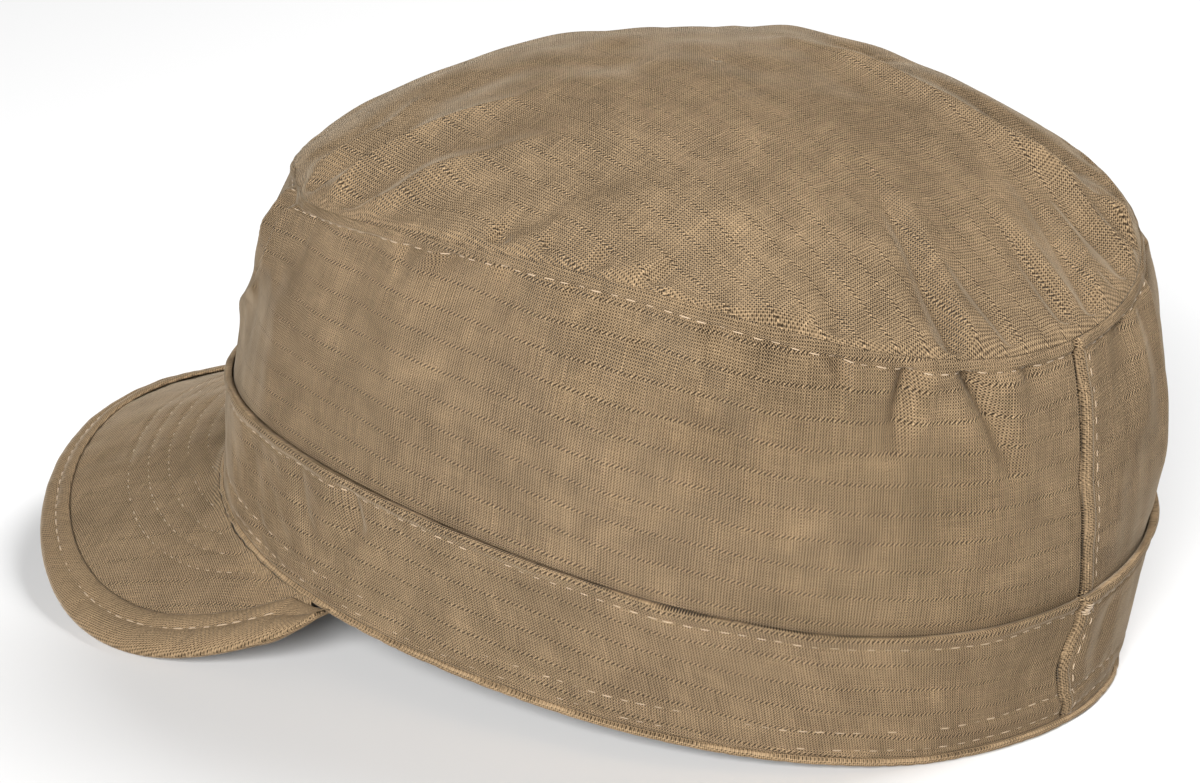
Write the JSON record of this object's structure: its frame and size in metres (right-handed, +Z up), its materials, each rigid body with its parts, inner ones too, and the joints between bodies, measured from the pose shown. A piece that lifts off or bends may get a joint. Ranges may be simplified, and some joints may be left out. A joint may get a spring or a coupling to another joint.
{
  "type": "patrol cap",
  "caption": "Soft patrol cap with a puffed oval top, a tall wall, an outer band with a free folded edge and a short arched peak.",
  "frame": {"origin": "middle of the underside of the whole cap, on the surface that it rests on", "axes": "+Z up, the peak points to -Y, +X is the wearer's left"},
  "size_m": [0.1828, 0.2716, 0.1283],
  "materials": {
    "ripstop_cloth": "matt ripstop cotton, khaki brown",
    "top_cloth": "the same cloth, its rows running front to back",
    "edge_cloth": "the same cloth, folded and pressed at the edges"
  },
  "bodies": {
    "root": {"crown_top": "top_cloth", "crown_side": "ripstop_cloth", "outer_band": "ripstop_cloth", "rim_binding": "edge_cloth", "peak": "ripstop_cloth", "peak_hem": "edge_cloth", "back_seam_upper": "edge_cloth", "back_seam_lower": "edge_cloth"}
  },
  "joints": []
}
